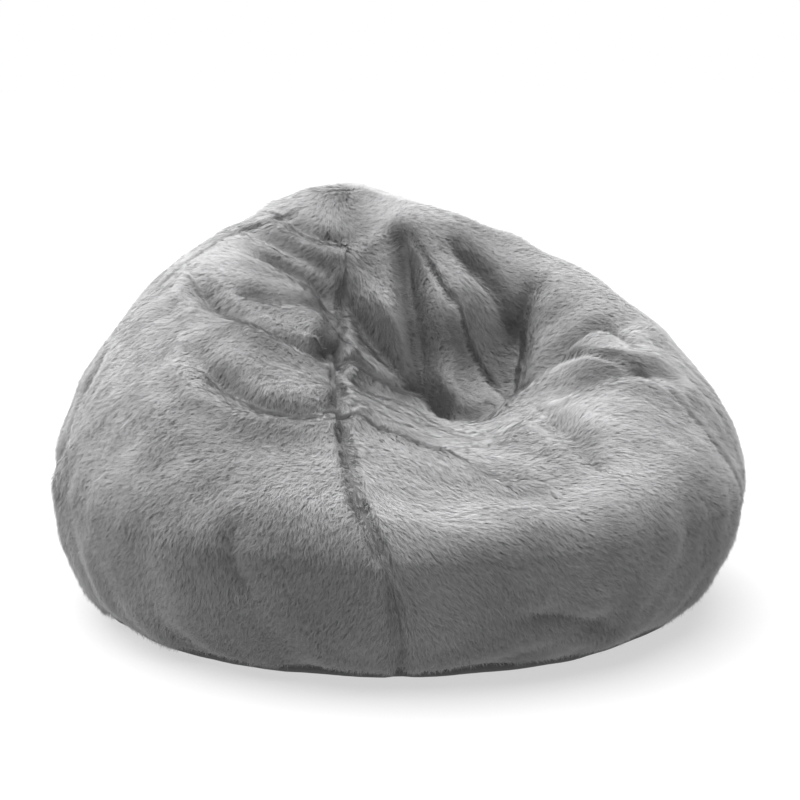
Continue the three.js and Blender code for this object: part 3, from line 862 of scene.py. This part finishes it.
# ---- Base halves, turned up at the rim ----
def make_base(layer, side):
    half = "back" if side > 0 else "front"
    name = f"{layer['name']}_base_cloth_{half}"

    def place(across, down):
        azimuth = side * (BASE_START + across * (math.pi - 2 * BASE_START))
        share = np.minimum(down / FLAT_SHARE, 1)
        turn = np.clip((down - FLAT_SHARE) / (1 - FLAT_SHARE), 0, 1)[:, None]
        x = FOOT_X * FLAT_EDGE * np.cos(azimuth) + FOOT_LEAN
        run_out = smooth(np.abs(x), ZIP_HALF, SLIT_RUN_OUT)
        slit = side * (SLIT_HALF * (1 - run_out) + 0.0004)
        y = slit + (side * FOOT_Y * FLAT_EDGE * np.abs(np.sin(azimuth)) - slit) * share
        rim = layer["point"](azimuth, np.full(len(down), HEM), np.full(len(down), layer["rim"]))
        flat = np.stack([x, y, np.full(len(x), layer["floor"])], -1)
        elbow = flat + (rim - flat) * np.array([0.85, 0.85, 0.0])
        points = flat * (1 - turn) ** 2 + elbow * 2 * turn * (1 - turn) + rim * turn ** 2
        ripple = 0.5 + 0.25 * wave(points, 0.05, 61) + 0.25 * wave(points, 0.018, 62)
        points[:, 2] += layer["ripple"] * np.clip(ripple, 0, 1) * smooth(share, 0.04, 0.12)
        return points

    cloth = cloth_patch(name, place, *layer["steps"], (1.0, 0.38), layer["cloth"], outwards=side < 0)
    thicken(cloth, layer["thick"])
    on_bag(cloth, layer["slot"], f"{layer['name']}_base_{half}")


# ---- Sewing ----
def stitch_row(name, points, ways, slot, length=0.0034):
    """One raised stitch of thread at each point, lying along its way."""
    bm = bmesh.new()
    for point, way in zip(points, ways):
        turn = Vector(way).to_track_quat("X", "Z").to_matrix().to_4x4()
        size = Matrix.Diagonal((length / 2, 0.00032, 0.00028, 1))
        lay = Matrix.Translation(point) @ turn @ size
        bmesh.ops.create_icosphere(bm, subdivisions=1, radius=1, matrix=lay)
    row = object_from(bm, name, THREAD)
    on_bag(row, slot)
    return row


def make_stitches():
    azimuth = np.linspace(0, 2 * math.pi, 470, endpoint=False)
    line = layer_point(azimuth, np.full(470, HEM - 0.008), np.full(470, BACKING_INSET - 0.0001))
    stitch_row("hem_stitches", line, np.roll(line, -1, 0) - np.roll(line, 1, 0), "pile_fabric")
    for half, side in (("front", -1), ("back", 1)):
        x = np.arange(-ZIP_HALF, ZIP_HALF, 0.0048)
        for place, away in (("inner", 0.0030), ("outer", 0.0068)):
            points = np.stack([x, np.full(len(x), side * (SLIT_HALF + away)), np.full(len(x), 0.0005)], -1)
            ways = np.broadcast_to((1.0, 0, 0), points.shape)
            stitch_row(f"zip_stitches_{place}_{half}", points, ways, "base_fabric")


# ---- Zips ----
def middle_of(node):
    low, high = (Vector(corner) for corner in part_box(node))
    return low, high, (low + high) / 2


def make_tape(prefix, half):
    node = f"{prefix}_zip_tape_{half}"
    low, high, _ = middle_of(node)

    def place(across, down):
        ripple = 0.00010 * np.sin(across * 190) * smooth(np.abs(down - 0.5), 0.1, 0.4)
        rib = 0.00008 * (np.abs(down - 0.5) > 0.42)
        top = high.z - 0.00025 + ripple + rib
        return np.stack([low.x + across * (high.x - low.x), low.y + down * (high.y - low.y), top], -1)

    size = (high.x - low.x, high.y - low.y)
    tape = cloth_patch(f"{prefix}_zip_woven_tape_{half}", place, 240, 10, size, TAPE_CLOTH, outwards=False)
    thicken(tape, 0.0004)
    on_bag(tape, "zip_tape", node)


def make_teeth(prefix, half):
    node = f"{prefix}_zip_teeth_{half}"
    low, high, middle = middle_of(node)
    offset = TOOTH_PITCH / 2 if half == "back" else 0
    bm = bmesh.new()
    size = Matrix.Diagonal((0.00095, high.y - low.y, (high.z - low.z) * 0.9, 1))
    start = Vector((low.x + 0.0006 + offset, middle.y, middle.z))
    bmesh.ops.create_cube(bm, size=1, matrix=Matrix.Translation(start) @ size)
    bmesh.ops.bevel(bm, geom=bm.edges, offset=0.00025, segments=1, profile=0.5, affect="EDGES", material=-1)
    teeth = object_from(bm, f"{prefix}_zip_tooth_row_{half}", TEETH_PLASTIC)
    row = teeth.modifiers.new("row", "ARRAY")
    row.use_relative_offset = False
    row.use_constant_offset = True
    row.constant_offset_displace = (TOOTH_PITCH, 0, 0)
    row.count = int((high.x - low.x - 0.0015) / TOOTH_PITCH)
    on_bag(teeth, "zip_plastic", node)


def make_slider(prefix):
    """Two rounded wings joined by a post at the nose, with a low flange along each side."""
    node = f"{prefix}_zip_slider"
    low, high, middle = middle_of(node)
    wing = 0.001
    bm = bmesh.new()
    for bottom in (low.z, high.z - wing):
        lift = Matrix.Translation((middle.x, middle.y, bottom))
        size = Matrix.Diagonal(((high.x - low.x) / 2, (high.y - low.y) / 2, 1, 1))
        made = bmesh.ops.create_circle(bm, cap_ends=True, segments=36, radius=1, matrix=lift @ size)
        face = made["verts"][0].link_faces[0]
        raised = bmesh.ops.extrude_face_region(bm, geom=[face])["geom"]
        top = [v for v in raised if isinstance(v, bmesh.types.BMVert)]
        bmesh.ops.translate(bm, verts=top, vec=(0, 0, wing))
    for side in (-1, 1):
        for bottom in (low.z + wing * 0.9, high.z - wing * 1.7):
            at = Vector((middle.x, middle.y + side * ((high.y - low.y) / 2 - 0.00035), bottom + 0.0004))
            size = Matrix.Diagonal((0.0048, 0.0004, 0.0008, 1))
            bmesh.ops.create_cube(bm, size=1, matrix=Matrix.Translation(at) @ size)
    post = Vector((low.x + 0.0026, middle.y, middle.z))
    size = Matrix.Diagonal((0.0030, 0.0008, high.z - low.z - wing, 1))
    bmesh.ops.create_cube(bm, size=1, matrix=Matrix.Translation(post) @ size)
    bmesh.ops.recalc_face_normals(bm, faces=bm.faces)
    sharp = [edge for edge in bm.edges if edge.calc_face_angle(0) > 0.9]
    bmesh.ops.bevel(bm, geom=sharp, offset=0.00012, segments=2, profile=0.5, affect="EDGES", material=-1)
    slider = object_from(bm, f"{prefix}_zip_slider_body", ZIP_METAL)
    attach(slider, f"{prefix}_slider")
    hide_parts(node)


def make_zip(prefix):
    for half in ("front", "back"):
        make_tape(prefix, half)
        make_teeth(prefix, half)
    make_slider(prefix)
    for end in ("left", "right"):
        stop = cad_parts[f"{prefix}_zip_stop_{end}"]
        stop.data.materials.clear()
        stop.data.materials.append(ZIP_METAL)


def make_label():
    """A blank woven label sewn under the back of the hem, its free end a little curled."""
    low, high, _ = middle_of("care_label")

    def place(across, down):
        curl = 0.0014 * smooth(down, 0.55, 0.45) + 0.0003 * np.sin(across * 9) * down
        z = low.z + 0.00035 + curl
        return np.stack([high.x - across * (high.x - low.x), low.y + down * (high.y - low.y), z], -1)

    size = (high.x - low.x, high.y - low.y)
    label = cloth_patch("care_label_cloth", place, 24, 30, size, LABEL_CLOTH, outwards=True)
    thicken(label, 0.0003)
    on_bag(label, "label_tape", "care_label")


COVER_CUT = {"front_right": (0.92, 0.62, 0.42), "right": (0.86, 0.62, 0.37), "back": (0.80, 0.58, 0.31),
             "left": (0.78, 0.58, 0.30), "front_left": (0.84, 0.60, 0.36)}
LINER_CUT = {"front_right": (0.90, 0.60, 0.40), "right": (0.82, 0.60, 0.34), "back": (0.78, 0.56, 0.29),
             "left": (0.76, 0.56, 0.28), "front_left": (0.80, 0.58, 0.33)}
LINER_INSET, FILL_INSET, FILL_FLOOR = 0.0115, 0.0150, 0.0126
BASE_START, FLAT_SHARE, FLAT_EDGE = 0.012, 0.78, 0.985
ZIP_HALF, SLIT_HALF, SLIT_RUN_OUT, TOOTH_PITCH = 0.240, 0.0044, 0.030, 0.0015
COVER_BASE = dict(name="cover", floor=0.0008, rim=BACKING_INSET + 0.0005, ripple=0.0006, thick=0.0012,
                  cloth=BASE_CLOTH, slot="base_fabric", point=layer_point, on="liner_base_cloth_front",
                  steps=(120, 40))
LINER_BASE = dict(name="liner", floor=0.0072, rim=LINER_INSET, ripple=0.0004, thick=0.0006,
                  cloth=LINER_CLOTH, slot="liner_fabric", point=inner_point, on="bead_heap", steps=(80, 30))

for index in range(len(PANELS)):
    make_cover_panel(index)
    make_liner_panel(index)
make_cover_crown()
make_liner_crown()
make_fill()
for layer in (COVER_BASE, LINER_BASE):
    make_base(layer, -1)
    make_base(layer, 1)
for prefix in ("cover", "liner"):
    make_zip(prefix)
make_stitches()
make_label()

# ---- Camera, floor and light ----
VIEW_RISE = math.radians(12.6)
VIEW_DISTANCE = 2.6
AIM = Vector((0, 0, 0.278))


def make_camera():
    data = bpy.data.cameras.new("camera")
    data.lens = 84.4
    camera = bpy.data.objects.new("camera", data)
    back = Vector((0, -math.cos(VIEW_RISE), math.sin(VIEW_RISE)))
    camera.location = AIM + back * VIEW_DISTANCE
    camera.rotation_euler = back.to_track_quat("Z", "Y").to_euler()
    bpy.context.collection.objects.link(camera)
    bpy.context.scene.camera = camera


def make_stage():
    bm = bmesh.new()
    bmesh.ops.create_grid(bm, x_segments=1, y_segments=1, size=12)
    floor = object_from(bm, "floor", FLOOR_FINISH)


def make_light():
    """A wide soft light from above, and an even surround that shows white but lights the bag less."""
    world = bpy.data.worlds.new("studio")
    bpy.context.scene.world = world
    world.use_nodes = True
    nodes, links = world.node_tree.nodes, world.node_tree.links
    surround = nodes["Background"]
    surround.inputs["Color"].default_value = (1, 1, 1, 1)
    path = nodes.new("ShaderNodeLightPath")
    strength = nodes.new("ShaderNodeMapRange")
    strength.inputs["To Min"].default_value = SURROUND_LIGHT
    strength.inputs["To Max"].default_value = 1.0
    links.new(path.outputs["Is Camera Ray"], strength.inputs["Value"])
    links.new(strength.outputs["Result"], surround.inputs["Strength"])
    data = bpy.data.lights.new("top", "SUN")
    data.energy = TOP_LIGHT
    data.angle = math.radians(85)
    light = bpy.data.objects.new("top", data)
    light.rotation_euler = Vector((-0.26, 0.04, 1)).to_track_quat("Z", "Y").to_euler()
    bpy.context.collection.objects.link(light)
    bpy.context.scene.view_settings.view_transform = "Standard"


SURROUND_LIGHT = 0.35
TOP_LIGHT = 9.8

make_camera()
make_stage()
make_light()
